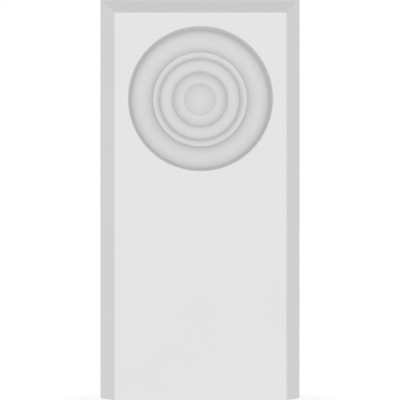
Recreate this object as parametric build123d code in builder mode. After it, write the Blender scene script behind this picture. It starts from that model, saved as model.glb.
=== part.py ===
from build123d import *
import os

# A plinth block, the thick upright block that stands at the foot of a door casing.
# It is one piece of board. Its side and top edges are bevelled at the front, its bottom
# end is cut square, and a bullseye is turned into the middle of its upper square.
#
# Millimetres, +Z up. The origin is the middle of the bottom end, half-way through the
# thickness. The bullseye faces -Y and the flat back faces +Y.

# The block
block_width = 88.9
block_height = 177.8
block_thickness = 25.4
bevel_width = 6.35  # across the face
bevel_depth = 6.35  # back from the face
arris_radius = 0.4  # easing of the edges of the bevels
bullseye_drop = 44.45  # from the top end down to the bullseye's centre

# The bullseye's parts, each by its width along the face, from its centre outwards
button_radius = 7.2
lip_width = 0.2
boss_width = 4.15
boss_slope_width = 0.6  # the straight slope down to the inner groove
bead_width = 5.7  # from the inner to the outer groove
bead_top_width = 4.0  # the flatter arch between the bead's two shoulders
ring_slope_width = 0.6  # the straight slope up from the outer groove
ring_inner_width = 2.0
ring_round = 0.75  # radius of the ring's outer edge
cove_inner_width = 5.05
cove_radius = 4.75  # of the cove's outer quarter
rim_bevel_width = 1.0
rim_ease = 0.15  # the flat on the rim's corner, along its bevel and along the face

# How deep the bullseye is cut, and how far each part rises from the floor of the cove
recess_depth = 10.2
crown_rise = 8.7
button_edge_rise = 5.5
boss_rise = 5.8
boss_shoulder_rise = 3.3
inner_groove_rise = 2.2
bead_rise = 4.1
bead_shoulder_rise = 3.45
outer_groove_rise = 2.4
ring_shoulder_rise = 3.95
ring_rise = 5.4
ring_foot_rise = 3.9
rim_bevel_depth = 2.8

# Radii of the lines where one part of the bullseye meets the next
lip_radius = button_radius + lip_width
boss_radius = lip_radius + boss_width
inner_groove_radius = boss_radius + boss_slope_width
bead_radius = inner_groove_radius + bead_width / 2
outer_groove_radius = inner_groove_radius + bead_width
ring_shoulder_radius = outer_groove_radius + ring_slope_width
ring_crest_radius = ring_shoulder_radius + ring_inner_width
ring_radius = ring_crest_radius + ring_round
cove_floor_radius = ring_radius + cove_inner_width
wall_radius = cove_floor_radius + cove_radius
rim_radius = wall_radius + rim_bevel_width

# The cutter starts this far in front of the face
cutter_overrun = 2.0


def at(radius, rise):
    """The point of the profile at this radius and this rise from the cove's floor."""
    return Vector(radius, recess_depth - rise)


# In this plane X is the distance from the bullseye's centre, and Y the depth below the face.
face_y = -block_thickness / 2
bullseye_plane = Plane(
    origin=(0, face_y, block_height - bullseye_drop),
    x_dir=(1, 0, 0),
    z_dir=(0, 0, 1),
)
bullseye_axis = Axis(bullseye_plane.origin, bullseye_plane.y_dir)

with BuildPart() as plinth_block:
    # The board, cut to length
    with BuildSketch(Plane.XY):
        Rectangle(block_width, block_thickness)
    extrude(amount=block_height)

    # The bevels run up both sides and across the top, and meet in mitres.
    face = plinth_block.faces().sort_by(Axis.Y)[0]
    side_and_top_edges = face.edges().sort_by(Axis.Z)[1:]
    chamfer(side_and_top_edges, length=bevel_width, length2=bevel_depth, reference=face)

    # Their edges are eased, except where the bottom end is sawn square.
    bevels = plinth_block.faces().filter_by(lambda f: -0.99 < f.normal_at().Y < -0.01)
    arrises = bevels.edges().group_by(Axis.Z)[1:]
    fillet([edge for level in arrises for edge in level], radius=arris_radius)

    # The bullseye is one turned cut. Its profile runs from the centre out to the rim.
    with BuildSketch(bullseye_plane):
        with BuildLine():
            # A domed button, with the boss standing round it
            crown = at(0, crown_rise)
            button = TangentArc(crown, at(button_radius, button_edge_rise), tangent=(1, 0))
            lip = Line(button @ 1, at(lip_radius, boss_rise))
            boss = TangentArc(lip @ 1, at(boss_radius, boss_shoulder_rise), tangent=(1, 0))
            inner_groove = at(inner_groove_radius, inner_groove_rise)
            Line(boss @ 1, inner_groove)

            # The wide bead, a flat arch whose shoulders round down to the two grooves
            bead_top = ThreePointArc(
                at(bead_radius - bead_top_width / 2, bead_shoulder_rise),
                at(bead_radius, bead_rise),
                at(bead_radius + bead_top_width / 2, bead_shoulder_rise),
            )
            TangentArc(bead_top @ 0, inner_groove, tangent=-(bead_top % 0))
            outer_groove = at(outer_groove_radius, outer_groove_rise)
            TangentArc(bead_top @ 1, outer_groove, tangent=bead_top % 1)

            # The narrow ring, which is rounded over and drops straight into the cove
            ring_slope = Line(outer_groove, at(ring_shoulder_radius, ring_shoulder_rise))
            ring_crest = at(ring_crest_radius, ring_rise)
            TangentArc(ring_crest, ring_slope @ 1, tangent=(-1, 0))
            ring_edge = at(ring_radius, ring_rise - ring_round)
            TangentArc(ring_crest, ring_edge, tangent=(1, 0))
            ring_foot = at(ring_radius, ring_foot_rise)
            Line(ring_edge, ring_foot)

            # The cove, and the straight wall that its outer quarter runs up into
            cove_floor = at(cove_floor_radius, 0)
            TangentArc(cove_floor, ring_foot, tangent=(-1, 0))
            cove = TangentArc(cove_floor, at(wall_radius, cove_radius), tangent=(1, 0))
            wall = Line(cove @ 1, (wall_radius, rim_bevel_depth))

            # The bevel under the rim, whose corner with the face is broken by a narrow flat
            rim_corner = Vector(rim_radius, 0)
            rim_bevel_top = rim_corner + (wall @ 1 - rim_corner).normalized() * rim_ease
            rim_bevel = Line(wall @ 1, rim_bevel_top)
            rim = Line(rim_bevel @ 1, (rim_radius + rim_ease, 0))

            # Round through the air in front of the face, back to the centre
            Polyline(
                rim @ 1,
                (rim_radius + rim_ease, -cutter_overrun),
                (0, -cutter_overrun),
                crown,
            )
        make_face()
    revolve(axis=bullseye_axis, mode=Mode.SUBTRACT)

plinth_block.part.label = "plinth_block"

os.makedirs("parts", exist_ok=True)
export_step(plinth_block.part, "parts/plinth_block.step")
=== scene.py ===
"""A plinth block, finished as it leaves the moulding shop and set in a plain studio.

The block is one piece of white foamed board. Its side and top edges are bevelled at the
front, its ends and sides are sawn, and a bullseye is turned into its upper square.
Lengths are metres, +Z is up, the bullseye faces -Y and the block stands on Z = 0.
"""

import logging
import math
from collections.abc import Callable, Sequence
from dataclasses import dataclass
from enum import Enum

import bpy
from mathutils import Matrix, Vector


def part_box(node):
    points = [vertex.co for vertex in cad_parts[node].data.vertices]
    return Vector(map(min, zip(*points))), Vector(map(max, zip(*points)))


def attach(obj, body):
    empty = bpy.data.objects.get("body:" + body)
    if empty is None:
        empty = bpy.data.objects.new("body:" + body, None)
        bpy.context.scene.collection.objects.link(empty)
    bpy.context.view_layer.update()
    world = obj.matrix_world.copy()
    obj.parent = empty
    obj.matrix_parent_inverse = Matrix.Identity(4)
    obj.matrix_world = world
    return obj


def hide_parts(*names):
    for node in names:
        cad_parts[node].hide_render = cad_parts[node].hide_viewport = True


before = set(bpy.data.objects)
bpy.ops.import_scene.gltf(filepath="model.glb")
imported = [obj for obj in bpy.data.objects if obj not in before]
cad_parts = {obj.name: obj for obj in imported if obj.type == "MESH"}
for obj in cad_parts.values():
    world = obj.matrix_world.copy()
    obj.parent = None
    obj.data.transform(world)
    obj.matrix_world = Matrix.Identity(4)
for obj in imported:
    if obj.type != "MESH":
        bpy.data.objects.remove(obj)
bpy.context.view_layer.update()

log = logging.getLogger("plinth_block")

MM = 0.001
SEAM = 0.001 * MM  # points nearer than this are one point
FLAT = 0.999  # how far the normal of a flat face reaches along its axis
NODE = "plinth_block"

Point = tuple[float, float]
Socket = bpy.types.NodeSocket
Feed = Socket | float | Sequence[float]


class ToolMarks(Enum):
    """What a tool leaves on a surface, by the way its marks run."""

    NONE = "none"
    ROUND_THE_BULLSEYE = "round the bullseye"
    ALONG_THE_BEVEL = "along the bevel"
    ACROSS_THE_EDGE = "across the edge"


class Element(Enum):
    """The kinds of mesh element that edit mode selects, by Blender's own names."""

    VERTEX = "VERT"
    EDGE = "EDGE"
    FACE = "FACE"


def leave_edit_mode() -> None:
    """Goes back to object mode and deselects everything, the loaded solids included."""
    if bpy.context.object and bpy.context.object.mode != "OBJECT":
        bpy.ops.object.mode_set(mode="OBJECT")
    bpy.ops.object.select_all(action="DESELECT")


def take_up(piece: bpy.types.Object) -> None:
    """Makes one piece the only selected and the active object, in object mode.

    Args:
        piece: The object that is worked on next.
    """
    leave_edit_mode()
    piece.select_set(True)
    bpy.context.view_layer.objects.active = piece


def pick(piece: bpy.types.Object, kind: Element, wanted: Callable[..., bool]) -> None:
    """Selects the elements of a piece that pass a test, and stays in edit mode.

    Args:
        piece: The object whose mesh is edited.
        kind: Whether edges or faces are tested.
        wanted: Takes the places of an edge's two ends, or a face's centre and normal,
            and says whether it is selected.
    """
    take_up(piece)
    bpy.ops.object.mode_set(mode="EDIT")
    bpy.ops.mesh.select_mode(type=kind.value)
    bpy.ops.mesh.select_all(action="DESELECT")
    bpy.ops.object.mode_set(mode="OBJECT")
    mesh = piece.data
    if kind is Element.EDGE:
        ends = [[mesh.vertices[i].co for i in e.vertices] for e in mesh.edges]
        found = [e for e, (a, b) in zip(mesh.edges, ends) if wanted(a, b)]
    else:
        found = [f for f in mesh.polygons if wanted(f.center, f.normal)]
    for element in found:
        element.select = True
    bpy.ops.object.mode_set(mode="EDIT")


@dataclass
class SectionPen:
    """Draws the section of a turned shape as one chain of edges.

    A point of the section is its distance from the turning axis and its depth below
    the face. The pen draws in the level plane through the axis, with the distance
    along +X and the depth along +Y.
    """

    centre: Vector
    start: Point
    arc_step: float = math.radians(6)

    def __post_init__(self) -> None:
        """Sets one vertex down at the start."""
        leave_edit_mode()
        bpy.ops.mesh.primitive_plane_add(size=MM, location=self.place(self.start))
        bpy.ops.object.transform_apply(location=True, rotation=False, scale=False)
        self.piece: bpy.types.Object = bpy.context.object
        self.end: Point = self.start
        bpy.ops.object.mode_set(mode="EDIT")
        bpy.ops.mesh.select_mode(type=Element.VERTEX.value)
        bpy.ops.mesh.select_all(action="SELECT")
        bpy.ops.mesh.merge(type="CENTER")

    def place(self, point: Point) -> Vector:
        """The place in the block of a point of the section."""
        return self.centre + Vector((point[0], point[1], 0))

    def line(self, to: Point) -> None:
        """Draws a straight edge on to a point.

        Args:
            to: The point where the edge ends.
        """
        step = self.place(to) - self.place(self.end)
        bpy.ops.mesh.extrude_vertices_move(TRANSFORM_OT_translate={"value": step})
        self.end = to

    def arc(self, about: Point, to: Point) -> None:
        """Draws an arc on to a point, the short way round.

        Args:
            about: The arc's centre.
            to: The point where the arc ends.
        """
        first = math.atan2(self.end[1] - about[1], self.end[0] - about[0])
        last = math.atan2(to[1] - about[1], to[0] - about[0])
        turn = (last - first + math.pi) % math.tau - math.pi
        bpy.ops.mesh.spin(
            steps=max(2, math.ceil(abs(turn) / self.arc_step)),
            angle=-turn,
            center=self.place(about),
            axis=(0, 0, 1),
            use_auto_merge=False,
        )
        self.end = to

    def arc_from_level(self, to: Point) -> None:
        """Draws the arc that leaves the present point level and ends at a point."""
        self.arc(self.centre_at_level(self.end, to), to)

    def arc_to_level(self, to: Point) -> None:
        """Draws the arc that reaches a point level."""
        self.arc(self.centre_at_level(to, self.end), to)

    def centre_at_level(self, level: Point, other: Point) -> Point:
        """The centre of the arc that is level at one point and passes another."""
        return self.centre_towards((level[0], other[1]), level, other)

    def centre_towards(self, aim: Point, through: Point, other: Point) -> Point:
        """The centre of an arc through two points, on the line from the first to an aim.

        Args:
            aim: A point straight inwards from the first one, such as the centre of
                the arc that this one goes on from smoothly.
            through: The arc's first point.
            other: Its other point.

        Returns:
            The arc's centre.
        """
        start = Vector(through)
        inwards = (Vector(aim) - start).normalized()
        chord = Vector(other) - start
        return tuple(start + inwards * chord.length_squared / (2 * inwards.dot(chord)))

    def turn(self, steps: int) -> bpy.types.Object:
        """Turns the whole section once round the axis.

        Args:
            steps: How many flats the full turn has.

        Returns:
            The object that holds the turned surface, its pole closed.
        """
        bpy.ops.mesh.select_all(action="SELECT")
        bpy.ops.mesh.spin(steps=steps, angle=math.tau, center=self.centre, axis=(0, 1, 0))
        bpy.ops.mesh.select_all(action="SELECT")
        bpy.ops.mesh.remove_doubles(threshold=SEAM)
        bpy.ops.object.mode_set(mode="OBJECT")
        return self.piece


@dataclass
class Bullseye:
    """The turned recess: a domed button, a boss, a bead, a ring and a cove.

    Each part has its own width along the face, from the centre outwards, and its own
    rise from the floor of the cove.
    """

    centre: Vector
    button_radius: float = 7.2 * MM
    lip_width: float = 0.2 * MM
    boss_width: float = 4.15 * MM
    boss_slope_width: float = 0.6 * MM
    bead_width: float = 5.7 * MM
    bead_top_width: float = 4.0 * MM
    ring_slope_width: float = 0.6 * MM
    ring_inner_width: float = 2.0 * MM
    ring_round: float = 0.75 * MM
    cove_inner_width: float = 5.05 * MM
    cove_radius: float = 4.75 * MM
    rim_bevel_width: float = 1.0 * MM
    rim_ease: float = 0.15 * MM
    recess_depth: float = 10.2 * MM
    crown_rise: float = 8.7 * MM
    button_edge_rise: float = 5.5 * MM
    boss_rise: float = 5.8 * MM
    boss_shoulder_rise: float = 3.3 * MM
    inner_groove_rise: float = 2.2 * MM
    bead_rise: float = 4.1 * MM
    bead_shoulder_rise: float = 3.45 * MM
    outer_groove_rise: float = 2.4 * MM
    ring_shoulder_rise: float = 3.95 * MM
    ring_rise: float = 5.4 * MM
    ring_foot_rise: float = 3.9 * MM
    rim_bevel_depth: float = 2.8 * MM
    flats: int = 256

    def __post_init__(self) -> None:
        """Adds the widths up to the radii where one part meets the next."""
        self.lip_radius = self.button_radius + self.lip_width
        self.boss_radius = self.lip_radius + self.boss_width
        self.inner_groove_radius = self.boss_radius + self.boss_slope_width
        self.bead_radius = self.inner_groove_radius + self.bead_width / 2
        self.outer_groove_radius = self.inner_groove_radius + self.bead_width
        self.ring_shoulder_radius = self.outer_groove_radius + self.ring_slope_width
        self.ring_crest_radius = self.ring_shoulder_radius + self.ring_inner_width
        self.ring_radius = self.ring_crest_radius + self.ring_round
        self.cove_floor_radius = self.ring_radius + self.cove_inner_width
        self.wall_radius = self.cove_floor_radius + self.cove_radius
        self.rim_radius = self.wall_radius + self.rim_bevel_width
        self.mouth_radius = self.rim_radius + self.rim_ease

    def at(self, radius: float, rise: float) -> Point:
        """The point of the section at a radius and a rise from the cove's floor."""
        return radius, self.recess_depth - rise

    def build(self) -> bpy.types.Object:
        """Draws the section from the centre out to the rim and turns it.

        Returns:
            The turned recess, open at its rim.
        """
        pen = SectionPen(self.centre, self.at(0, self.crown_rise))
        self.draw_button_and_boss(pen)
        self.draw_bead(pen)
        self.draw_ring(pen)
        self.draw_cove_and_wall(pen)
        self.draw_rim(pen)
        return pen.turn(self.flats)

    def draw_button_and_boss(self, pen: SectionPen) -> None:
        """Draws the domed button, the lip round it and the boss down to its groove.

        Args:
            pen: The pen, at the crown of the button.
        """
        pen.arc_from_level(self.at(self.button_radius, self.button_edge_rise))
        pen.line(self.at(self.lip_radius, self.boss_rise))
        pen.arc_from_level(self.at(self.boss_radius, self.boss_shoulder_rise))
        pen.line(self.at(self.inner_groove_radius, self.inner_groove_rise))

    def draw_bead(self, pen: SectionPen) -> None:
        """Draws the wide bead, a flat arch whose shoulders round down to the grooves.

        Args:
            pen: The pen, in the inner groove.
        """
        half_top = self.bead_top_width / 2
        inner_shoulder = self.at(self.bead_radius - half_top, self.bead_shoulder_rise)
        outer_shoulder = self.at(self.bead_radius + half_top, self.bead_shoulder_rise)
        outer_groove = self.at(self.outer_groove_radius, self.outer_groove_rise)
        crest = self.at(self.bead_radius, self.bead_rise)
        arch = pen.centre_at_level(crest, inner_shoulder)
        pen.arc(pen.centre_towards(arch, inner_shoulder, pen.end), inner_shoulder)
        pen.arc(arch, outer_shoulder)
        pen.arc(pen.centre_towards(arch, outer_shoulder, outer_groove), outer_groove)

    def draw_ring(self, pen: SectionPen) -> None:
        """Draws the narrow ring, rounded over to drop straight into the cove.

        Args:
            pen: The pen, in the outer groove.
        """
        pen.line(self.at(self.ring_shoulder_radius, self.ring_shoulder_rise))
        pen.arc_to_level(self.at(self.ring_crest_radius, self.ring_rise))
        pen.arc_from_level(self.at(self.ring_radius, self.ring_rise - self.ring_round))
        pen.line(self.at(self.ring_radius, self.ring_foot_rise))

    def draw_cove_and_wall(self, pen: SectionPen) -> None:
        """Draws the cove down to its floor and up to the straight wall.

        Args:
            pen: The pen, at the foot of the ring.
        """
        pen.arc_to_level(self.at(self.cove_floor_radius, 0))
        pen.arc_from_level(self.at(self.wall_radius, self.cove_radius))
        pen.line((self.wall_radius, self.rim_bevel_depth))

    def draw_rim(self, pen: SectionPen) -> None:
        """Draws the steep bevel under the rim, and breaks its corner with a narrow flat.

        Args:
            pen: The pen, at the top of the wall.
        """
        slope = math.atan2(self.rim_bevel_depth, self.rim_bevel_width)
        inwards = self.rim_ease * math.cos(slope)
        pen.line((self.rim_radius - inwards, self.rim_ease * math.sin(slope)))
        pen.line((self.mouth_radius, 0))

    def holds(self, place: Vector) -> bool:
        """Says whether a place is inside the recess or on its surface.

        Args:
            place: A place in the block.

        Returns:
            Whether it lies within the rim and no deeper than the floor of the cove.
        """
        across, depth, up = place - self.centre
        within_rim = math.hypot(across, up) < self.mouth_radius
        return within_rim and depth < self.recess_depth + SEAM


def grey(level: float) -> tuple[float, float, float, float]:
    """The neutral colour of one level, where 1 is white."""
    return level, level, level, 1


@dataclass
class NodeBench:
    """Lays out the nodes of one material, or of the world, and joins them up."""

    tree: bpy.types.NodeTree

    def feed(self, inlet: Socket, value: Feed) -> None:
        """Gives an input what it works from.

        Args:
            inlet: The input.
            value: Another node's output, which is linked, or a constant, which is set.
        """
        if isinstance(value, Socket):
            self.tree.links.new(value, inlet)
        else:
            inlet.default_value = value

    def add(
        self, kind: str, feeds: dict[str | int, Feed] | None = None, **settings: str
    ) -> bpy.types.Node:
        """Adds a node and feeds it.

        Args:
            kind: The node's type, by Blender's own name.
            feeds: What each input gets, by its name or its number.
            settings: The node's own settings, by name.

        Returns:
            The new node.
        """
        node = self.tree.nodes.new(kind)
        for name, setting in settings.items():
            setattr(node, name, setting)
        for key, value in (feeds or {}).items():
            self.feed(node.inputs[key], value)
        return node

    def noise(self, place: Socket, size: float, detail: float) -> Socket:
        """An even noise whose spots are about one size across."""
        feeds = {"Vector": place, "Scale": 1 / size, "Detail": detail}
        return self.add("ShaderNodeTexNoise", feeds).outputs["Fac"]

    def noise_along(self, line: Socket, pitch: float, detail: float) -> Socket:
        """A noise that changes only along one line, so that it draws marks across it."""
        feeds = {"W": line, "Scale": 1 / pitch, "Detail": detail}
        return self.add("ShaderNodeTexNoise", feeds, noise_dimensions="1D").outputs["Fac"]

    def maths(self, operation: str, *values: Feed) -> Socket:
        """What a Math node makes of one value or two."""
        feeds = dict(enumerate(values))
        return self.add("ShaderNodeMath", feeds, operation=operation).outputs["Value"]

    def spread(
        self, value: Socket, low: float, high: float, start: float = 0.3, stop: float = 0.7
    ) -> Socket:
        """Spreads a part of the values over another range.

        Args:
            value: The values, such as those of a noise.
            low: What comes out where they are at the start of the part, and below it.
            high: What comes out where they are at its end, and above it.
            start: Where the part starts. A noise's own values start about here.
            stop: Where it ends. A noise's own values end about here.

        Returns:
            The values in their new range.
        """
        part = {"Value": value, "From Min": start, "From Max": stop}
        node = self.add("ShaderNodeMapRange", part | {"To Min": low, "To Max": high})
        return node.outputs["Result"]

    def vary(self, noise: Socket, middle: float, drift: float) -> Socket:
        """Spreads a noise round a middle value, by a drift each way."""
        return self.spread(noise, middle - drift, middle + drift)

    def bump(self, pattern: Socket, height: float, under: Socket | None = None) -> Socket:
        """Raises the surface by a pattern, over the bump that is already there.

        Args:
            pattern: How high the surface is, from 0 to 1.
            height: The height of 1, in metres.
            under: The bump that is already there, if there is one.

        Returns:
            The surface's new normal.
        """
        node = self.add("ShaderNodeBump", {"Height": pattern, "Distance": height})
        if under:
            self.feed(node.inputs["Normal"], under)
        return node.outputs["Normal"]

    def by_eye(self, seen: Socket, unseen: Socket) -> Socket:
        """Chooses between two shaders by who looks at them.

        Args:
            seen: The one for the camera, and for what gloss and glass show of it.
            unseen: The one that all other light meets.

        Returns:
            The shader that is right for each ray.
        """
        path = self.add("ShaderNodeLightPath").outputs
        mirrored = self.maths("MAXIMUM", path["Is Glossy Ray"], path["Is Transmission Ray"])
        eye = self.maths("MAXIMUM", path["Is Camera Ray"], mirrored)
        choice = self.add("ShaderNodeMixShader", {"Fac": eye, 1: unseen, 2: seen})
        return choice.outputs["Shader"]


@dataclass(frozen=True)
class BoardFinish:
    """One finish of the white board, as a procedural material.

    Its tone drifts a little over the board and its skin has a fine grain. A tool adds its
    marks, and a saw lays the pores of the foam open.
    """

    name: str
    whiteness: float
    roughness: float
    sheen_of_skin: float
    roughness_drift: float = 0.05
    tone_drift: float = 0.006
    drift_size: float = 30 * MM
    grain_size: float = 0.9 * MM
    grain_height: float = 0.004 * MM
    marks: ToolMarks = ToolMarks.NONE
    mark_pitch: float = 0.5 * MM
    mark_height: float = 0.003 * MM
    mark_tone: float = 0.005
    saw_radius: float = 100 * MM
    pore_size: float = 0.5 * MM
    pore_height: float = 0.0
    pore_tone: float = 0.06
    pore_bottom: float = 0.3
    pore_brim: float = 0.4

    def material(self, centre: Vector) -> bpy.types.Material:
        """Builds the finish.

        Args:
            centre: Where the bullseye's axis meets the face, for the marks round it.

        Returns:
            The new material.
        """
        made = bpy.data.materials.new(self.name)
        made.use_nodes = True
        bench = NodeBench(made.node_tree)
        place = bench.add("ShaderNodeTexCoord").outputs["Object"]

        drift = bench.noise(place, self.drift_size, detail=2)
        tone = bench.vary(drift, self.whiteness, self.whiteness * self.tone_drift)
        grain = bench.noise(place, self.grain_size, detail=3)
        roughness = bench.vary(grain, self.roughness, self.roughness_drift)
        normal = bench.bump(grain, self.grain_height)

        if self.marks is not ToolMarks.NONE:
            line = self.mark_line(bench, place, centre)
            ridges = bench.noise_along(line, self.mark_pitch, detail=2)
            normal = bench.bump(ridges, self.mark_height, normal)
            shade = bench.spread(ridges, 1 - self.mark_tone, 1)
            tone = bench.maths("MULTIPLY", tone, shade)
        if self.pore_height:
            foam = bench.noise(place, self.pore_size, detail=1)
            pores = bench.spread(foam, 0, 1, self.pore_bottom, self.pore_brim)
            normal = bench.bump(pores, self.pore_height, normal)
            shade = bench.spread(pores, 1 - self.pore_tone, 1, 0, 1)
            tone = bench.maths("MULTIPLY", tone, shade)

        shader = made.node_tree.nodes["Principled BSDF"].inputs
        bench.feed(shader["Specular IOR Level"], self.sheen_of_skin)
        bench.feed(shader["Base Color"], tone)
        bench.feed(shader["Roughness"], roughness)
        bench.feed(shader["Normal"], normal)
        return made

    def mark_line(self, bench: NodeBench, place: Socket, centre: Vector) -> Socket:
        """The line along which the tool marks follow each other.

        Args:
            bench: The material's nodes.
            place: The place on the block.
            centre: Where the bullseye's axis meets the face.

        Returns:
            A length that is the same all along one mark.
        """
        feeds = {"Vector": place, "Location": centre}
        from_centre = bench.add("ShaderNodeMapping", feeds, vector_type="TEXTURE")
        axes = bench.add("ShaderNodeSeparateXYZ", {"Vector": from_centre.outputs["Vector"]})
        across, depth, up = axes.outputs
        if self.marks is ToolMarks.ALONG_THE_BEVEL:
            return depth
        if self.marks is ToolMarks.ACROSS_THE_EDGE:
            bend = bench.maths("MULTIPLY", depth, depth)
            bow = bench.spread(bend, 0, self.saw_radius / 2, 0, self.saw_radius**2)
            return bench.maths("ADD", bench.maths("ADD", across, up), bow)
        across_squared = bench.maths("MULTIPLY", across, across)
        up_squared = bench.maths("MULTIPLY", up, up)
        radius = bench.maths("SQRT", bench.maths("ADD", across_squared, up_squared))
        return bench.maths("ADD", radius, depth)


SHEET_SKIN = BoardFinish("sheet_skin", whiteness=0.79, roughness=0.55, sheen_of_skin=0.4)
# The bevels' whiteness sits below the skin's as painted shade: the board is the same white,
# darkened here where the bevels turn away from the light.
MOULDED_WITH_PAINTED_SHADE = BoardFinish(
    "moulded_bevel_with_painted_shade",
    whiteness=0.748,
    roughness=0.7,
    sheen_of_skin=0.3,
    marks=ToolMarks.ALONG_THE_BEVEL,
)
# The bullseye's whiteness sits below the skin's as painted shade: it darkens the whole
# recess, where the light is partly shut out. Its marks and roughness are the turning
# tool's.
TURNED_WITH_PAINTED_SHADE = BoardFinish(
    "turned_bullseye_with_painted_shade",
    whiteness=0.73,
    roughness=0.75,
    sheen_of_skin=0.3,
    marks=ToolMarks.ROUND_THE_BULLSEYE,
    mark_pitch=0.4 * MM,
)
SAWN = BoardFinish(
    "sawn_edge",
    whiteness=0.78,
    roughness=0.8,
    sheen_of_skin=0.25,
    marks=ToolMarks.ACROSS_THE_EDGE,
    mark_pitch=1.4 * MM,
    mark_height=0.06 * MM,
    mark_tone=0.03,
    pore_height=0.08 * MM,
)


@dataclass
class PlinthBlock:
    """The whole block, modelled from a sawn blank."""

    low: Vector
    high: Vector
    bevel_width: float = 6.35 * MM
    arris_radius: float = 0.4 * MM
    arris_turn: float = math.radians(45)
    arris_flats: int = 4
    bullseye_drop: float = 44.45 * MM
    surround: float = 1.0 * MM
    crease: float = math.radians(32)
    least_tilt: float = 0.02
    hair: float = 0.01 * MM

    def __post_init__(self) -> None:
        """Works out the lines of the face from the block's corners."""
        self.middle = (self.low + self.high) / 2
        self.face_y = self.low.y
        self.bevel_back = self.face_y + self.bevel_width
        self.face_side = self.high.x - self.bevel_width
        self.face_top = self.high.z - self.bevel_width
        centre = Vector((self.middle.x, self.face_y, self.high.z - self.bullseye_drop))
        self.bullseye = Bullseye(centre)
        self.square_foot = centre.z - (self.face_top - centre.z)

    def build(self) -> bpy.types.Object:
        """Makes the block.

        Returns:
            The finished piece, not yet dressed.
        """
        self.saw_blank()
        self.bevel_front()
        self.ease_arrises()
        self.open_square()
        self.join_bullseye()
        self.smooth()
        return self.piece

    def saw_blank(self) -> None:
        """Adds the blank at the solid's size and place."""
        leave_edit_mode()
        bpy.ops.mesh.primitive_cube_add(
            size=1, location=self.middle, scale=self.high - self.low
        )
        bpy.ops.object.transform_apply(location=True, rotation=True, scale=True)
        self.piece: bpy.types.Object = bpy.context.object
        self.piece.name = "block"
        self.piece.data.name = "block"

    def bevel_front(self) -> None:
        """Bevels the side and top edges of the face, which meet in mitres."""

        def front_edge(a: Vector, b: Vector) -> bool:
            """Whether an edge is one of the face's, and not its bottom one."""
            at_front = max(a.y, b.y) < self.face_y + self.hair
            return at_front and max(a.z, b.z) > self.low.z + self.hair

        pick(self.piece, Element.EDGE, front_edge)
        bpy.ops.mesh.bevel(offset=self.bevel_width, segments=1, affect="EDGES")
        bpy.ops.object.mode_set(mode="OBJECT")

    def ease_arrises(self) -> None:
        """Rounds the edges of the bevels a little, but not where the foot is sawn."""

        def arris(a: Vector, b: Vector) -> bool:
            """Whether an edge borders a bevel and isn't on the sawn foot."""
            off_foot = max(a.z, b.z) > self.low.z + self.hair
            return off_foot and max(a.y, b.y) < self.bevel_back + self.hair

        pick(self.piece, Element.EDGE, arris)
        reach = self.arris_radius * math.tan(self.arris_turn / 2)
        bpy.ops.mesh.bevel(
            offset=reach, segments=self.arris_flats, profile=0.5, affect="EDGES"
        )
        bpy.ops.object.mode_set(mode="OBJECT")

    def open_square(self) -> None:
        """Opens the upper square of the face, with as many edge pieces as the rim."""
        pick(self.piece, Element.FACE, lambda centre, normal: True)
        bpy.ops.mesh.bisect(plane_co=(0, 0, self.square_foot), plane_no=(0, 0, 1))

        def in_square(centre: Vector, normal: Vector) -> bool:
            """Whether a face is the flat upper square."""
            return normal.y < -FLAT and centre.z > self.square_foot

        pick(self.piece, Element.FACE, in_square)
        bpy.ops.mesh.inset(thickness=self.surround)
        bpy.ops.mesh.delete(type="ONLY_FACE")
        widest = self.face_side - self.surround / 2
        lowest = self.square_foot + self.surround / 2

        def opening(a: Vector, b: Vector) -> bool:
            """Whether an edge goes round the opening."""
            inside = max(abs(a.x), abs(b.x)) < widest and min(a.z, b.z) > lowest
            return inside and max(a.y, b.y) < self.face_y + self.hair

        pick(self.piece, Element.EDGE, opening)
        bpy.ops.mesh.subdivide(number_cuts=self.bullseye.flats // 4 - 1)
        bpy.ops.object.mode_set(mode="OBJECT")

    def join_bullseye(self) -> None:
        """Turns the bullseye, joins it to the blank and bridges the gap to its rim."""
        turned = self.bullseye.build()
        take_up(self.piece)
        turned.select_set(True)
        bpy.ops.object.join()
        bpy.ops.object.mode_set(mode="EDIT")
        bpy.ops.mesh.select_mode(type=Element.EDGE.value)
        bpy.ops.mesh.select_all(action="DESELECT")
        bpy.ops.mesh.select_non_manifold()
        bpy.ops.mesh.bridge_edge_loops()
        bpy.ops.mesh.select_all(action="SELECT")
        bpy.ops.mesh.remove_doubles(threshold=SEAM)
        bpy.ops.mesh.normals_make_consistent(inside=False)
        bpy.ops.object.mode_set(mode="OBJECT")

    def smooth(self) -> None:
        """Shades the rounds smooth and keeps the creases and the flats."""
        take_up(self.piece)
        bpy.ops.object.shade_smooth_by_angle(angle=self.crease)
        weigh = self.piece.modifiers.new("flats stay flat", "WEIGHTED_NORMAL")
        weigh.keep_sharp = True
        bpy.ops.object.modifier_apply(modifier=weigh.name)

    def finish_at(self, place: Vector, normal: Vector) -> BoardFinish:
        """Says which finish a face has.

        Args:
            place: The centre of the face.
            normal: Its normal.

        Returns:
            The finish that the tool which made the face leaves there, darkened as painted
            shade on the bevels and in the bullseye.
        """
        if self.bullseye.holds(place):
            return TURNED_WITH_PAINTED_SHADE
        if abs(normal.y) > FLAT:
            return SHEET_SKIN
        on_bevel = normal.y < -self.least_tilt and place.y < self.bevel_back
        return MOULDED_WITH_PAINTED_SHADE if on_bevel else SAWN

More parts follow.
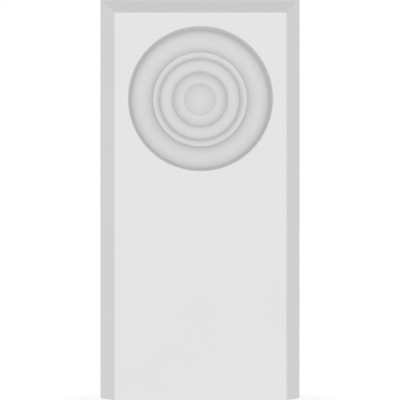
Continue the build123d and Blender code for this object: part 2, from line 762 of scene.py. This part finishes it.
    def dress(self) -> None:
        """Gives each surface of the block the finish that its tool leaves, with painted
        shade on the bevels and in the bullseye.
        """
        finishes = (SHEET_SKIN, MOULDED_WITH_PAINTED_SHADE, TURNED_WITH_PAINTED_SHADE, SAWN)
        for finish in finishes:
            self.piece.data.materials.append(finish.material(self.bullseye.centre))
        for index, finish in enumerate(finishes):
            pick(self.piece, Element.FACE, lambda c, n: self.finish_at(c, n) is finish)
            self.piece.active_material_index = index
            bpy.ops.object.material_slot_assign()
        bpy.ops.object.mode_set(mode="OBJECT")

    def declare(self) -> None:
        """Hides the loaded solid and hangs the piece on the root body."""
        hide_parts(NODE)
        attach(self.piece, "root")


@dataclass
class Studio:
    """The pale floor, the even light round the block and the soft lamps."""

    floor_size: float = 6.0
    floor_gap: float = 0.05 * MM
    floor_albedo: float = 0.8
    floor_glow: float = 0.5
    floor_shade: float = 0.7
    ambient: float = 0.51
    sky_drift: Vector = Vector((-0.02, 0.0, -0.12))
    key_strength: float = 0.43
    key_softness: float = math.radians(25)
    key_place: Vector = Vector((-0.01, -1.0, 0.03))
    back_strength: float = 0.32
    back_softness: float = math.radians(40)
    back_place: Vector = Vector((0.6, 0.65, 0.45))

    def build(self) -> None:
        """Lays the floor and sets the lights."""
        self.lay_floor()
        self.light_room()
        self.hang_lamps()

    def lay_floor(self) -> None:
        """Lays a wide pale floor a hair under the block."""
        leave_edit_mode()
        bpy.ops.mesh.primitive_plane_add(
            size=self.floor_size, location=(0, 0, -self.floor_gap)
        )
        bpy.ops.object.transform_apply(location=True, rotation=False, scale=False)
        floor = bpy.context.object
        floor.name = "floor"
        floor.data.materials.append(self.floor_material())
        floor.visible_diffuse = False
        floor.visible_shadow = False

    def floor_material(self) -> bpy.types.Material:
        """Makes the floor white to the eye, with the block's shadow kept.

        Returns:
            The floor's material.
        """
        made = bpy.data.materials.new("pale_floor")
        made.use_nodes = True
        made.node_tree.nodes.clear()
        bench = NodeBench(made.node_tree)
        matt = bench.add("ShaderNodeBsdfDiffuse", {"Color": grey(self.floor_albedo)})
        shaded = bench.add("ShaderNodeBsdfDiffuse", {"Color": grey(self.floor_shade)})
        glow = bench.add("ShaderNodeEmission", {"Strength": self.floor_glow})
        parts = {0: shaded.outputs["BSDF"], 1: glow.outputs["Emission"]}
        white = bench.add("ShaderNodeAddShader", parts).outputs["Shader"]
        floor = bench.by_eye(white, matt.outputs["BSDF"])
        bench.add("ShaderNodeOutputMaterial", {"Surface": floor})
        return made

    def light_room(self) -> None:
        """Lights the block evenly from all round, and shows white behind it."""
        world = bpy.data.worlds.new("studio")
        bpy.context.scene.world = world
        world.use_nodes = True
        world.node_tree.nodes.clear()
        bench = NodeBench(world.node_tree)
        way = {0: bench.add("ShaderNodeTexCoord").outputs["Generated"], 1: self.sky_drift}
        slope = bench.add("ShaderNodeVectorMath", way, operation="DOT_PRODUCT")
        level = bench.maths("ADD", slope.outputs["Value"], self.ambient)
        even = bench.add("ShaderNodeBackground", {"Color": grey(1), "Strength": level})
        white = bench.add("ShaderNodeBackground", {"Color": grey(1)})
        room = bench.by_eye(white.outputs["Background"], even.outputs["Background"])
        bench.add("ShaderNodeOutputWorld", {"Surface": room})

    def hang_lamps(self) -> None:
        """Hangs the wide key in front of the block and two soft lamps behind it."""
        self.hang("key", self.key_place, self.key_strength, self.key_softness)
        for name, side in (("back_left", -1), ("back_right", 1)):
            place = Vector((side * self.back_place.x, self.back_place.y, self.back_place.z))
            self.hang(name, place, self.back_strength, self.back_softness)

    def hang(self, name: str, place: Vector, strength: float, softness: float) -> None:
        """Hangs one soft lamp that points at the block.

        Args:
            name: The lamp's name.
            place: The direction in which it hangs, seen from the block.
            strength: How bright it makes a white surface that faces it.
            softness: How wide it looks from the block.
        """
        leave_edit_mode()
        turn = place.to_track_quat("Z", "Y").to_euler()
        bpy.ops.object.light_add(type="SUN", location=place, rotation=turn)
        lamp = bpy.context.object
        lamp.name = name
        lamp.data.angle = softness
        lamp.data.energy = strength * math.pi


@dataclass
class PhotoCamera:
    """The camera of the photograph, square to the face and a little to its left."""

    face_y: float
    distance: float = 668 * MM
    left: float = 26.8 * MM
    height: float = 88.5 * MM
    picture_pixels: float = 400.0
    pixels_per_metre: float = 2261.2
    axis_pixel: float = 139.95
    sensor: float = 36.0

    def build(self) -> None:
        """Adds the camera and makes it the scene's."""
        leave_edit_mode()
        place = (-self.left, self.face_y - self.distance, self.height)
        bpy.ops.object.camera_add(location=place, rotation=(math.pi / 2, 0, 0))
        camera = bpy.context.object
        camera.data.sensor_width = self.sensor
        seen_width = self.picture_pixels / self.pixels_per_metre
        camera.data.lens = self.sensor * self.distance / seen_width
        off_middle = self.picture_pixels / 2 - self.axis_pixel
        camera.data.shift_x = off_middle / self.picture_pixels
        bpy.context.scene.camera = camera


def main() -> None:
    """Builds the block, the studio and the camera, in that order."""
    logging.basicConfig(level=logging.INFO, format="%(name)s: %(message)s")
    low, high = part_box(NODE)
    block = PlinthBlock(low, high)
    piece = block.build()
    block.dress()
    block.declare()
    sides = " x ".join(f"{side / MM:.1f}" for side in piece.dimensions)
    log.info("%s: %d faces, %s mm", piece.name, len(piece.data.polygons), sides)
    Studio().build()
    log.info("studio: floor and lights are set")
    PhotoCamera(face_y=low.y).build()
    bpy.context.scene.view_settings.view_transform = "Standard"
    log.info("camera: set")


if __name__ == "__main__":
    main()
